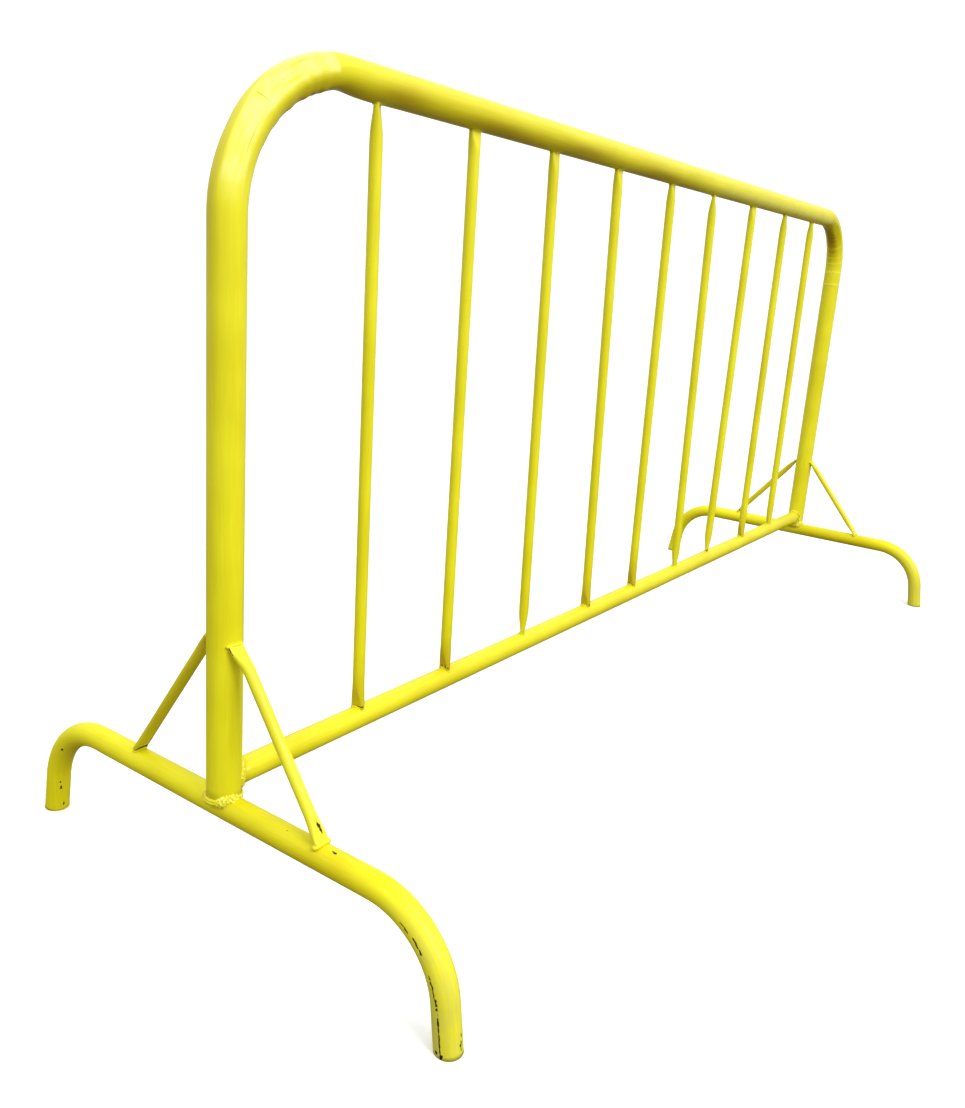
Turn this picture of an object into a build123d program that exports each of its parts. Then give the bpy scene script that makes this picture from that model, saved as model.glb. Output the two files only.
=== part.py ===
"""Crowd-control barrier: a bent tube frame with nine pickets, welded to two cross feet.

The barrier's length runs along X, its feet reach along Y and Z is up. The origin is on the
floor, under the middle of the whole barrier. Every joint is a weld, so nothing moves.
"""

import os
from math import radians, sin, tan

from build123d import *

# Overall sizes, in millimetres and degrees
frame_length = 2137
overall_width = 760
overall_height = 1027

# Frame: one tube bent into two posts and a top rail
frame_diameter = 42.8
frame_wall = 2.5
near_corner_radius = 170
far_corner_radius = 134
frame_setback = 4
post_notch = 3

# Feet: one tube across each post, bent down to a leg at each end
foot_diameter = 32.6
foot_wall = 2.5
foot_height = 147
foot_bend_radius = 107.5
foot_bend_angle = 81.7

# Bottom rail, its underside a little above the feet
rail_diameter = 32.2
rail_wall = 2.5
rail_lift = 3.4

# Pickets: light tubes whose ends are pinched nearly flat before they are welded
picket_diameter = 16.6
picket_wall = 1.5
picket_pinch_width = 20.5
picket_pinch_thickness = 7
picket_pinch_length = 46
picket_flat_length = 4
picket_end_gap = 231
# where the head of each picket stands off its even place, and how far its foot stands off its head
picket_shifts = (-6, -12, -11, -10, -4, -14, 0, 2, -5)
picket_leans = (10, 9, 23, 36, 15, 28, -12, -2, 2)
# how far the flat of each end is turned from the rail's own direction, in degrees
picket_head_turns = (35, -2, 0, 3, 7, 23, -7, 11, 7)
picket_foot_turns = (91, 76, 32, 78, 66, 33, 22, 52, 35)

# Braces: a pinched tube each side of each post, from the post down to the foot
brace_diameter = 14.4
brace_wall = 1.5
brace_pinch_width = 20.5
brace_pinch_thickness = 5
brace_pinch_length = 34
brace_flat_length = 5
near_brace_rise = 202
far_brace_rise = 177
near_brace_reach = 167
far_brace_reach = 174

# Weld beads
post_bead = 6
post_bead_drop = 4
rail_bead = 4.5
picket_bead = 3
brace_bead = 3

# Places that follow from the sizes
top_axis_z = overall_height - frame_diameter / 2
post_x = frame_length / 2 - frame_diameter / 2
foot_top_z = foot_height + foot_diameter / 2
rail_z = foot_top_z + rail_lift + rail_diameter / 2
frame_y = -frame_setback
near_x = -post_x
far_x = post_x
floor_trim = 30


def frame_path():
    """Centre line of the frame: up the near post, along the top and down the far post."""
    with BuildLine() as line:
        FilletPolyline(
            (near_x, frame_y, foot_height),
            (near_x, frame_y, top_axis_z),
            (far_x, frame_y, top_axis_z),
            (far_x, frame_y, foot_height),
            radius=[near_corner_radius, far_corner_radius],
        )
    return line


def foot_path(x):
    """Centre line of a foot: level across the post, then down to a leg at each end.

    The legs are drawn on below the floor by floor_trim, so that they can be cut level.
    """
    leg_slope = tan(radians(foot_bend_angle))
    leg_y = overall_width / 2 - foot_diameter / (2 * sin(radians(foot_bend_angle)))
    corner_y = leg_y - foot_height / leg_slope
    low_y = leg_y + floor_trim / leg_slope
    with BuildLine() as line:
        FilletPolyline(
            (x, -low_y, -floor_trim),
            (x, -corner_y, foot_height),
            (x, corner_y, foot_height),
            (x, low_y, -floor_trim),
            radius=foot_bend_radius,
        )
    return line


def swept(path, diameter, wall=0):
    """A round bar along a path, or a tube if it has a wall."""
    with BuildPart() as bar:
        with BuildSketch(Plane(origin=path.line @ 0, z_dir=path.line % 0)):
            Circle(diameter / 2)
            if wall:
                Circle(diameter / 2 - wall, mode=Mode.SUBTRACT)
        sweep(path=path.line)
    return bar.part


def level_rod(x_start, x_end, z, diameter):
    """A solid rod parallel to the frame's top rail."""
    with BuildPart() as rod:
        with BuildSketch(Plane.YZ.offset(x_start)):
            with Locations((frame_y, z)):
                Circle(diameter / 2)
        extrude(amount=x_end - x_start)
    return rod.part


# Solid shapes of the tubes, to cut the ends of what is welded to them
frame_core = swept(frame_path(), frame_diameter)
rail_core = level_rod(near_x, far_x, rail_z, rail_diameter)
foot_cores = {}
for end_name, end_x in (("near", near_x), ("far", far_x)):
    foot_cores[end_name] = swept(foot_path(end_x), foot_diameter)


def post_bead_ring(x, foot_core):
    """Weld round the bottom of a post, filling the step between its rim and the foot's flanks."""
    with BuildPart() as ring:
        with BuildSketch(Plane.XZ.offset(-frame_y)):
            with Locations((x + frame_diameter / 2 - post_bead / 4, foot_top_z - post_bead_drop)):
                Circle(post_bead)
        revolve(axis=Axis((x, frame_y, 0), (0, 0, 1)))
        add(foot_core, mode=Mode.SUBTRACT)
        with BuildSketch(Plane.XY.offset(foot_top_z - post_notch)):
            with Locations((x, frame_y)):
                Circle(frame_diameter / 2)
        extrude(amount=overall_height, mode=Mode.SUBTRACT)
    return ring.part


def rail_bead_ring(x, post_ring, foot_core):
    """Weld round an end of the bottom rail, where it meets the post."""
    inward = -1 if x > 0 else 1
    rail_grown = level_rod(x, x + inward * frame_diameter, rail_z, rail_diameter + 2 * rail_bead)
    with BuildPart() as ring:
        with BuildSketch(Plane.XY):
            with Locations((x, frame_y)):
                Circle(frame_diameter / 2 + rail_bead)
        extrude(amount=overall_height)
        add(rail_grown, mode=Mode.INTERSECT)
        add(frame_core, mode=Mode.SUBTRACT)
        add(rail_core, mode=Mode.SUBTRACT)
        add(post_ring, mode=Mode.SUBTRACT)
        add(foot_core, mode=Mode.SUBTRACT)
    return ring.part


def pinched_tube(start, end, size, turns, cutters):
    """A tube from start to end with each end squeezed flat, and cut to fit what it meets.

    size is (diameter, wall, flat width, flat thickness, pinch length, flat length), and turns
    are the angles of the two flats about the tube's own axis, measured from the X direction.
    The flats run on past start and end by one diameter, and the cutters trim them.
    """
    diameter, wall, flat_width, flat_thickness, pinch_length, flat_length = size
    axis = (Vector(*end) - Vector(*start)).normalized()
    length = (Vector(*end) - Vector(*start)).length
    overrun = diameter
    stations = ((0, 1, turns[0]), (length, -1, turns[1]))
    middle = Plane(origin=start, x_dir=(1, 0, 0), z_dir=axis).offset(flat_length + pinch_length)
    with BuildPart() as tube:
        with BuildSketch(middle):
            Circle(diameter / 2)
            Circle(diameter / 2 - wall, mode=Mode.SUBTRACT)
        extrude(amount=length - 2 * (flat_length + pinch_length))
        for distance, inward, turn in stations:
            across = Vector(1, 0, 0).rotate(Axis((0, 0, 0), axis), turn)
            base = Plane(origin=start, x_dir=across, z_dir=axis).offset(distance)
            with BuildSketch(base.offset(inward * (flat_length + pinch_length))):
                Circle(diameter / 2)
            with BuildSketch(base.offset(inward * flat_length)) as flat:
                Ellipse(flat_width / 2, flat_thickness / 2)
            loft()
            extrude(flat.sketch, amount=-inward * (flat_length + overrun))
        for cutter in cutters:
            add(cutter, mode=Mode.SUBTRACT)
    return tube.part


def pinch_bead(start, end, size, turn, bead, host_rod, cutters):
    """Weld round a flat end at start, where it meets its host tube.

    host_rod is the host tube's shape grown by the bead, which the weld stays inside.
    """
    diameter, wall, flat_width, flat_thickness, pinch_length, flat_length = size
    axis = (Vector(*end) - Vector(*start)).normalized()
    across = Vector(1, 0, 0).rotate(Axis((0, 0, 0), axis), turn)
    base = Plane(origin=start, x_dir=across, z_dir=axis)
    with BuildPart() as weld:
        with BuildSketch(base.offset(-diameter)):
            Ellipse(flat_width / 2 + bead, flat_thickness / 2 + bead)
        extrude(amount=2 * diameter)
        add(host_rod, mode=Mode.INTERSECT)
        for cutter in cutters:
            add(cutter, mode=Mode.SUBTRACT)
    return weld.part


pieces = {}

# Frame tube
with BuildPart() as frame_tube:
    add(swept(frame_path(), frame_diameter, frame_wall))
    split(bisect_by=Plane.XY.offset(foot_top_z - post_notch), keep=Keep.TOP)
    for foot_core in foot_cores.values():
        add(foot_core, mode=Mode.SUBTRACT)
pieces["frame_tube"] = frame_tube.part

# Bottom rail, its ends cut to the round of the posts
with BuildPart() as bottom_rail:
    with BuildSketch(Plane.YZ.offset(near_x)):
        with Locations((frame_y, rail_z)):
            Circle(rail_diameter / 2)
            Circle(rail_diameter / 2 - rail_wall, mode=Mode.SUBTRACT)
    extrude(amount=far_x - near_x)
    add(frame_core, mode=Mode.SUBTRACT)
pieces["bottom_rail"] = bottom_rail.part

# Feet, cut level at the floor
for end_name, end_x in (("near", near_x), ("far", far_x)):
    with BuildPart() as foot:
        add(swept(foot_path(end_x), foot_diameter, foot_wall))
        split(bisect_by=Plane.XY, keep=Keep.TOP)
    pieces[f"{end_name}_foot"] = foot.part

# Welds of the frame to the feet and of the bottom rail to the posts
for end_name, end_x in (("near", near_x), ("far", far_x)):
    post_ring = post_bead_ring(end_x, foot_cores[end_name])
    pieces[f"{end_name}_post_weld"] = post_ring
    pieces[f"{end_name}_rail_weld"] = rail_bead_ring(end_x, post_ring, foot_cores[end_name])

# Pickets, and the welds at their heads and feet
picket_size = (
    picket_diameter,
    picket_wall,
    picket_pinch_width,
    picket_pinch_thickness,
    picket_pinch_length,
    picket_flat_length,
)
head_z = top_axis_z - frame_diameter / 2
foot_z = rail_z + rail_diameter / 2
top_rail_grown = level_rod(near_x, far_x, top_axis_z, frame_diameter + 2 * picket_bead)
bottom_rail_grown = level_rod(near_x, far_x, rail_z, rail_diameter + 2 * picket_bead)
head_welds = []
foot_welds = []
picket_pitch = (far_x - near_x - 2 * picket_end_gap) / (len(picket_shifts) - 1)
for index, shift in enumerate(picket_shifts):
    head_x = near_x + picket_end_gap + index * picket_pitch + shift
    foot_x = head_x + picket_leans[index]
    foot_point = (foot_x, frame_y, foot_z)
    head_point = (head_x, frame_y, head_z)
    turns = (picket_foot_turns[index], picket_head_turns[index])
    picket = pinched_tube(foot_point, head_point, picket_size, turns, (rail_core, frame_core))
    pieces[f"picket_{index + 1}"] = picket
    foot_welds.append(
        pinch_bead(
            foot_point, head_point, picket_size, turns[0], picket_bead, bottom_rail_grown, (rail_core, picket)
        )
    )
    head_welds.append(
        pinch_bead(
            head_point, foot_point, picket_size, -turns[1], picket_bead, top_rail_grown, (frame_core, picket)
        )
    )
pieces["picket_foot_welds"] = Compound(children=foot_welds)
pieces["picket_head_welds"] = Compound(children=head_welds)

# Braces and their welds, front and back of each post
brace_size = (
    brace_diameter,
    brace_wall,
    brace_pinch_width,
    brace_pinch_thickness,
    brace_pinch_length,
    brace_flat_length,
)
brace_top_welds = []
brace_foot_welds = []
brace_rows = (
    ("near", near_x, near_brace_rise, near_brace_reach),
    ("far", far_x, far_brace_rise, far_brace_reach),
)
for end_name, end_x, rise, reach in brace_rows:
    with BuildPart() as post_grown:
        with BuildSketch(Plane.XY.offset(foot_top_z)):
            with Locations((end_x, frame_y)):
                Circle(frame_diameter / 2 + brace_bead)
        extrude(amount=overall_height / 2)
    foot_grown = swept(foot_path(end_x), foot_diameter + 2 * brace_bead)
    for side_name, side in (("front", -1), ("back", 1)):
        low_point = (end_x, frame_y + side * reach, foot_top_z)
        high_point = (end_x, frame_y + side * frame_diameter / 2, foot_top_z + rise)
        cutters = (frame_core, foot_cores[end_name])
        brace = pinched_tube(low_point, high_point, brace_size, (0, 0), cutters)
        pieces[f"{end_name}_{side_name}_brace"] = brace
        brace_foot_welds.append(
            pinch_bead(
                low_point, high_point, brace_size, 0, brace_bead, foot_grown, (foot_cores[end_name], brace)
            )
        )
        brace_top_welds.append(
            pinch_bead(
                high_point, low_point, brace_size, 0, brace_bead, post_grown.part, (frame_core, brace)
            )
        )
pieces["brace_foot_welds"] = Compound(children=brace_foot_welds)
pieces["brace_top_welds"] = Compound(children=brace_top_welds)

os.makedirs("parts", exist_ok=True)
for name, piece in pieces.items():
    piece.label = name
    export_step(piece, f"parts/{name}.step")
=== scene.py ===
"""Crowd-control barrier: what it looks like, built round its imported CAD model.

One yellow painted steel frame on two cross feet, with nine pickets, a bottom rail and four
braces, all welded. The sections follow the barrier as it is put together. Metres, +Z up.
"""

from math import cos, pi, radians, sin, tan

import bpy
import numpy as np
from mathutils import Matrix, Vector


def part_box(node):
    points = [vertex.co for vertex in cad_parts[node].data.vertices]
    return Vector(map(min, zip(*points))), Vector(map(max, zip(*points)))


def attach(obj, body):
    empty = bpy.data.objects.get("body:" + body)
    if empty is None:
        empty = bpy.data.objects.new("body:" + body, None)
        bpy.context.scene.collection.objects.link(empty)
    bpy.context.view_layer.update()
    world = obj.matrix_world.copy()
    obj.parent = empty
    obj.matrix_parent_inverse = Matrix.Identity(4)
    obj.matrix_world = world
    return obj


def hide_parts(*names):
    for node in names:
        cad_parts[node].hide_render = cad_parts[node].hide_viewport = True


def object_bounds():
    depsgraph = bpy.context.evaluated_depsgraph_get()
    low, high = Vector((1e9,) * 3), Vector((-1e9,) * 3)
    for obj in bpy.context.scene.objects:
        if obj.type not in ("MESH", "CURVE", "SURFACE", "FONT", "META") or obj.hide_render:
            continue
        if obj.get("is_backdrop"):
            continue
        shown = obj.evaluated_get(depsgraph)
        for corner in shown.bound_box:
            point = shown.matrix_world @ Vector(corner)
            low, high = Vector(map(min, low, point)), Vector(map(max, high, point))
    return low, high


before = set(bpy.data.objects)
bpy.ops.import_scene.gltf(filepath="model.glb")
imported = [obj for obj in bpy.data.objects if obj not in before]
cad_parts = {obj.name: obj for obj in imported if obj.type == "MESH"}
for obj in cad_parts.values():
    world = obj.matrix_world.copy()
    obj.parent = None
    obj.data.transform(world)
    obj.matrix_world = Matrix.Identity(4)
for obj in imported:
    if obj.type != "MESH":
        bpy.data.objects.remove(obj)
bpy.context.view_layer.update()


# ---------------------------------------------------------------------------------------------
# Frame tube. One 43 mm steel tube bent cold into both posts and the top rail, without a mandrel,
# so its bends are flattened outside and wrinkled inside. The paint is brushed yellow enamel.
# ---------------------------------------------------------------------------------------------
frame_low, frame_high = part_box("frame_tube")
post_radius = (frame_high.y - frame_low.y) / 2
frame_y = (frame_high.y + frame_low.y) / 2
top_z = frame_high.z - post_radius
near_x = frame_low.x + post_radius
far_x = frame_high.x - post_radius
near_bend = 0.170
far_bend = 0.134
tube_wall = 0.0025
fine_row = 0.0016
coarse_row = 0.015
columns_round_frame = 80
# mm to the nearest chip or painted gap shadow, where there is none
unchipped = 9.0


def smooth_step(values, low, high):
    """0 below low and 1 above high, with a cubic ease between them."""
    t = np.clip((values - low) / (high - low), 0, 1)
    return t * t * (3 - 2 * t)


def hump(values, centre, width):
    """A bell of height 1: e to the minus square of the distance from centre, in widths."""
    return np.exp(-(((values - centre) / width) ** 2))


def turn_between(angles, centre):
    """How far angles are turned from centre, in degrees, from -180 to 180."""
    return (np.degrees(angles) - centre + 180) % 360 - 180


def soft_lower(values, limit, ease):
    """The lower of values and limit, rounded by about ease where they cross."""
    return -ease * np.logaddexp(-values / ease, -limit / ease)


def bent_line(corners, radii, side, distances):
    """Points and tangents at distances along straight runs joined by tangent arcs.

    An arc of radius r that turns by angle q starts r * tan(q / 2) before its corner. side is the
    normal of the bending plane, and side x heading points away from the centre of each arc.
    """
    corners = [np.array(corner, float) for corner in corners]
    points = np.zeros((len(distances), 3))
    tangents = np.zeros((len(distances), 3))
    start = corners[0]
    travelled = 0.0
    for index, corner in enumerate(corners[1:]):
        run = np.linalg.norm(corner - start)
        heading = (corner - start) / run
        here = distances[:, None] - travelled
        ahead = here[:, 0] >= 0
        points[ahead] = (start + here * heading)[ahead]
        tangents[ahead] = heading
        if index == len(radii):
            break
        following = corners[index + 2] - corner
        following /= np.linalg.norm(following)
        turn = np.arccos(heading @ following)
        radius = radii[index]
        run -= radius * tan(turn / 2)
        travelled += run
        away = np.cross(side, heading)
        centre = start + run * heading - radius * away
        here = distances[:, None] - travelled
        ahead = here[:, 0] >= 0
        angle = here / radius
        points[ahead] = (centre + radius * (np.cos(angle) * away + np.sin(angle) * heading))[ahead]
        tangents[ahead] = (np.cos(angle) * heading - np.sin(angle) * away)[ahead]
        travelled += radius * turn
        start = centre + radius * np.cross(side, following)
    return points, tangents


def chips_and_shadows_on(distances, angles, radius, listed_marks):
    """Millimetres from the nearest mark's edge, less than 0 inside.

    Marks are chips, painted shadows in gaps and in a fold, and dark lines, each an ellipse on the
    unrolled tube: the distance is measured in its half-sizes, less one, times its half-width.
    """
    nearest = np.full((len(distances), angles.shape[1]), unchipped)
    for at, turn, half_length, half_width in listed_marks:
        along = (1000 * distances[:, None] - at) / half_length
        across = 1000 * radius * np.radians(turn_between(angles, turn)) / half_width
        nearest = np.minimum(nearest, (np.hypot(along, across) - 1) * half_width)
    return nearest


def skin(centres, tangents, side, section):
    """Outer points of a tube, and each point's direction from the axis.

    section[row, column] is (outward, sideways): a point is its row's centre, plus outward along
    side x tangent, plus sideways along side, made square to the tangent.
    """
    outs = np.cross(side, tangents)
    outs /= np.linalg.norm(outs, axis=1)[:, None]
    sides = np.cross(tangents, outs)
    offsets = section[..., :1] * outs[:, None] + section[..., 1:] * sides[:, None]
    return centres[:, None] + offsets, offsets / np.linalg.norm(offsets, axis=2)[..., None]


def polar(radius, angles):
    """(outward, sideways) of points at radius and angles: radius times their cosine and sine."""
    return np.stack([radius * np.cos(angles), radius * np.sin(angles)], axis=-1)


def walled(points, directions, wall, distances, section, bare_and_shadow, coat_and_light, inner_every=10):
    """A closed shell: the skin's rows, then rows one wall nearer the axis, back to the start.

    The paint reads three values at each point: its place on the tube when straightened out, how
    far it is outside the nearest chip to bare steel and painted gap shadow alike, in millimetres,
    and its coat and painted light, from -1 where it is thin and golden and where shade is painted,
    to 1 where it is fresh and pale and where highlights are painted.
    """
    rows = np.arange(len(points) - 1, 0, -inner_every)
    order = np.r_[np.arange(len(points)), rows, 0]
    depth = np.r_[np.zeros(len(points)), np.full(len(rows) + 1, wall)]
    along = np.broadcast_to(distances[:, None, None], points.shape[:2] + (1,))
    straight = np.concatenate([along, np.broadcast_to(section, points.shape[:2] + (2,))], axis=2)
    return {
        "points": points[order] - depth[:, None, None] * directions[order],
        "straight": straight[order],
        "bare_and_shadow": np.broadcast_to(bare_and_shadow, points.shape[:2])[order],
        "coat_and_light": np.broadcast_to(coat_and_light, points.shape[:2])[order],
    }


def shell_piece(name, sheets, material, slot, *cad_nodes):
    """One mesh of closed sheets, in place of CAD nodes.

    A sheet is a grid of points whose rows and columns both close on themselves, so its quads
    join each point to the next in both ways, round to the first.
    """
    faces = []
    first = 0
    for sheet in sheets:
        rows, columns = sheet["points"].shape[:2]
        i, j = (grid.ravel() for grid in np.mgrid[0:rows, 0:columns])
        i_next, j_next = (i + 1) % rows, (j + 1) % columns
        quads = [i * columns + j, i * columns + j_next, i_next * columns + j_next, i_next * columns + j]
        faces.append(first + np.stack(quads, axis=1))
        first += rows * columns
    joined = {
        key: np.concatenate([sheet[key].reshape(-1, size) for sheet in sheets])
        for key, size in (("points", 3), ("straight", 3), ("bare_and_shadow", 1), ("coat_and_light", 1))
    }
    faces = np.concatenate(faces)
    mesh = bpy.data.meshes.new(name)
    mesh.vertices.add(len(joined["points"]))
    mesh.vertices.foreach_set("co", joined["points"].ravel())
    mesh.loops.add(faces.size)
    mesh.loops.foreach_set("vertex_index", faces.ravel())
    mesh.polygons.add(len(faces))
    mesh.polygons.foreach_set("loop_start", np.arange(len(faces)) * 4)
    mesh.update(calc_edges=True)
    mesh.attributes.new("straight", "FLOAT_VECTOR", "POINT").data.foreach_set(
        "vector", joined["straight"].ravel()
    )
    for key in ("bare_and_shadow", "coat_and_light"):
        mesh.attributes.new(key, "FLOAT", "POINT").data.foreach_set("value", joined[key].ravel())
    mesh.shade_smooth()
    mesh.materials.append(material)
    piece = bpy.data.objects.new(name, mesh)
    bpy.context.scene.collection.objects.link(piece)
    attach(piece, "root")
    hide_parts(*cad_nodes)
    return piece


def hex_linear(code):
    """The linear colour, with alpha 1, of an sRGB hex value."""
    parts = [int(code[i : i + 2], 16) / 255 for i in (1, 3, 5)]
    return tuple(p / 12.92 if p <= 0.04045 else ((p + 0.055) / 1.055) ** 2.4 for p in parts) + (1.0,)


def add_node(tree, kind, *links, **settings):
    """Add a shader node. links are (input, value or output socket) pairs, settings its fields."""
    node = tree.nodes.new("ShaderNode" + kind)
    for field, value in settings.items():
        setattr(node, field, value)
    for socket, value in links:
        if isinstance(value, bpy.types.NodeSocket):
            tree.links.new(value, node.inputs[socket])
        else:
            node.inputs[socket].default_value = value
    return node


# Alkyd enamel brushed on steel. To the eye: a warm lemon yellow with a semi-gloss sheen, faint
# brush lines along the tube, slow drifts to a more golden yellow where the coat is thin, pale
# patches where it is fresh, and chips with an edge of brown primer round dark steel. The golden
# yellow also paints shade, the pale yellow also paints highlights and a sky reflection, and the
# primer and dark steel also paint shadows in gaps at some welds. Sizes are in millimetres. Brush
# lines are really half as wide, and are drawn coarser so that they show.
golden_coat_and_shade = "#A88A00"
primer_brown = "#5E4A14"
bare_steel_and_shadow = "#30280C"
chip_depth = 0.25
brush_line = 3.2
brush_length = 60
coat_drift = 110
coat_patch = 22
orange_peel = 3
chip_crumb = 3.5


def enamel(name, colours, roughness, gloss, line_height, grain_height, grain):
    """Enamel with brush lines line_height mm high and a grain of that height and size in mm.

    colours are those of the coat where it is full, a little thin, and fresh, and the last also
    paints highlights. gloss is its specular level, which drops in a chip and in a painted shadow.
    """
    material = bpy.data.materials.new(name)
    material.use_nodes = True
    tree = material.node_tree
    tree.nodes.clear()
    place = add_node(tree, "TexCoord").outputs["Object"]
    straight = add_node(tree, "Attribute", attribute_name="straight").outputs["Vector"]
    bare_and_shadow = add_node(tree, "Attribute", attribute_name="bare_and_shadow").outputs["Fac"]
    coat_and_light = add_node(tree, "Attribute", attribute_name="coat_and_light").outputs["Fac"]
    stretch = (1000 / brush_length, 1000 / brush_line, 1000 / brush_line)
    brushed = add_node(tree, "Mapping", ("Vector", straight), ("Scale", stretch)).outputs["Vector"]
    lines = add_node(tree, "TexNoise", ("Vector", brushed), ("Scale", 1), ("Detail", 3)).outputs["Fac"]
    drift, patches, peel, crumbs = (
        add_node(tree, "TexNoise", ("Vector", place), ("Scale", 1000 / size), ("Detail", 2)).outputs["Fac"]
        for size in (coat_drift, coat_patch, grain, chip_crumb)
    )

    # colour: golden where the coat is thin and where shade is painted, paler where it is fresh and where
    # highlights are painted, then primer and steel, which also paint shadows in gaps
    uneven = add_node(tree, "Math", (0, lines), (1, 0.5), (2, drift), operation="MULTIPLY_ADD")
    thinness = add_node(
        tree, "MapRange", ("Value", uneven.outputs[0]), ("From Min", 0.55), ("From Max", 0.95)
    )
    yellow = add_node(
        tree,
        "Mix",
        (0, thinness.outputs[0]),
        (6, hex_linear(colours[0])),
        (7, hex_linear(colours[1])),
        data_type="RGBA",
    )
    thin_and_shaded = add_node(tree, "MapRange", ("Value", coat_and_light), ("From Min", 0), ("From Max", -1)).outputs[0]
    golden = add_node(
        tree, "Mix", (0, thin_and_shaded), (6, yellow.outputs[2]), (7, hex_linear(golden_coat_and_shade)), data_type="RGBA"
    )
    streaks = add_node(tree, "MapRange", ("Value", lines), ("From Min", 0.38), ("From Max", 0.6)).outputs[0]
    patchy = add_node(tree, "MapRange", ("Value", patches), ("From Min", 0.38), ("From Max", 0.58)).outputs[0]
    partly = add_node(tree, "Math", (0, patchy), (1, 0.45), (2, 0.25), operation="MULTIPLY_ADD").outputs[0]
    streaky = add_node(tree, "Math", (0, streaks), (1, 0.4), (2, partly), operation="MULTIPLY_ADD")
    fresh_and_highlit = add_node(tree, "MapRange", ("Value", coat_and_light)).outputs[0]
    fresh_and_highlit_share = add_node(tree, "Math", (0, fresh_and_highlit), (1, streaky.outputs[0]), operation="MULTIPLY")
    pale = add_node(
        tree,
        "Mix",
        (0, fresh_and_highlit_share.outputs[0]),
        (6, golden.outputs[2]),
        (7, hex_linear(colours[2])),
        data_type="RGBA",
    )
    ragged = add_node(tree, "Math", (0, crumbs), (1, 2.4), (2, -1.2), operation="MULTIPLY_ADD")
    edge = add_node(tree, "Math", (0, bare_and_shadow), (1, ragged.outputs[0]), operation="ADD").outputs[0]
    primed = add_node(tree, "MapRange", ("Value", edge), ("From Min", 0.5), ("From Max", 0.3)).outputs[0]
    stripped_and_shadowed = add_node(tree, "MapRange", ("Value", edge), ("From Min", 0.1), ("From Max", -0.2)).outputs[0]
    primer = add_node(
        tree, "Mix", (0, primed), (6, pale.outputs[2]), (7, hex_linear(primer_brown)), data_type="RGBA"
    )
    colour = add_node(
        tree, "Mix", (0, stripped_and_shadowed), (6, primer.outputs[2]), (7, hex_linear(bare_steel_and_shadow)), data_type="RGBA"
    )

    # surface: brush lines and grain stand up, chips and painted gap shadows go down through the coat
    dull = add_node(tree, "Math", (0, lines), (1, 0.14), (2, roughness - 0.07), operation="MULTIPLY_ADD")
    shine = add_node(tree, "Math", (0, primed), (1, -0.2), (2, gloss), operation="MULTIPLY_ADD").outputs[0]
    rough = add_node(tree, "Math", (0, primed), (1, 0.4), (2, dull.outputs[0]), operation="MULTIPLY_ADD")
    chipped = add_node(tree, "Math", (0, primed), (1, -chip_depth), (2, 0.0), operation="MULTIPLY_ADD")
    lined = add_node(
        tree, "Math", (0, lines), (1, line_height), (2, chipped.outputs[0]), operation="MULTIPLY_ADD"
    )
    height = add_node(
        tree, "Math", (0, peel), (1, grain_height), (2, lined.outputs[0]), operation="MULTIPLY_ADD"
    )
    bump = add_node(tree, "Bump", ("Height", height.outputs[0]), ("Distance", 0.001), ("Strength", 1.0))
    paint = add_node(
        tree,
        "BsdfPrincipled",
        ("Base Color", colour.outputs[2]),
        ("Roughness", rough.outputs[0]),
        ("Normal", bump.outputs["Normal"]),
        ("IOR", 1.5),
        ("Specular IOR Level", shine),
    )
    add_node(tree, "OutputMaterial", ("Surface", paint.outputs[0]))
    return material


brushed_enamel = enamel(
    "brushed_yellow_enamel", ("#EBE41C", "#DED40A", "#F4F07A"), 0.36, 0.36, 0.03, 0.025, orange_peel
)

frame_corners = [
    (near_x, frame_y, frame_low.z),
    (near_x, frame_y, top_z),
    (far_x, frame_y, top_z),
    (far_x, frame_y, frame_low.z),
]
near_bend_start = top_z - near_bend - frame_low.z
rail_start = near_bend_start + near_bend * pi / 2
far_bend_start = rail_start + far_x - near_x - near_bend - far_bend
far_post_start = far_bend_start + far_bend * pi / 2
frame_length = far_post_start + top_z - far_bend - frame_low.z
fine_stretches = [
    (near_bend_start - 0.03, rail_start + 0.08),
    (far_bend_start - 0.02, far_post_start + 0.05),
]
frame_at = np.unique(
    np.concatenate(
        [np.arange(0, frame_length, coarse_row), [frame_length]]
        + [np.arange(start, end, fine_row) for start, end in fine_stretches]
    )
)
frame_angles = np.linspace(0, 2 * pi, columns_round_frame, endpoint=False)[None]
frame_centres, frame_tangents = bent_line(
    frame_corners, [near_bend, far_bend], (0, -1, 0), frame_at
)
near_turn = np.degrees((frame_at - near_bend_start) / near_bend)[:, None]
far_turn = np.degrees((frame_at - far_bend_start) / far_bend)[:, None]

# Each wrinkle is (degrees round the bend, half-width in degrees, height in mm), inside the bend.
near_wrinkles = [
    (32, 3.0, 0.5),
    (41, 2.4, 0.7),
    (52, 2.8, 1.2),
    (62, 2.2, 1.4),
    (67.5, 1.5, 0.9),
    (73, 1.8, 1.2),
]
near_kink = (85, 8.5, -2.9)
near_swell = (106, 8, 0.7)
far_wrinkles = [
    (20, 1.7, 1.2),
    (26, 1.5, 1.7),
    (32, 1.5, 1.9),
    (38, 1.5, 1.8),
    (44, 1.7, 1.3),
    (52, 2.2, 0.8),
]
# Rings pressed round the far post by the bending shoe, in the same measures.
far_rings = [
    (58, 1.2, 0.3),
    (64, 1.2, -0.3),
    (71, 0.9, 0.3),
    (79, 1.0, 0.4),
    (90, 1.0, 0.45),
    (104, 1.2, 0.55),
]

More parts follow.
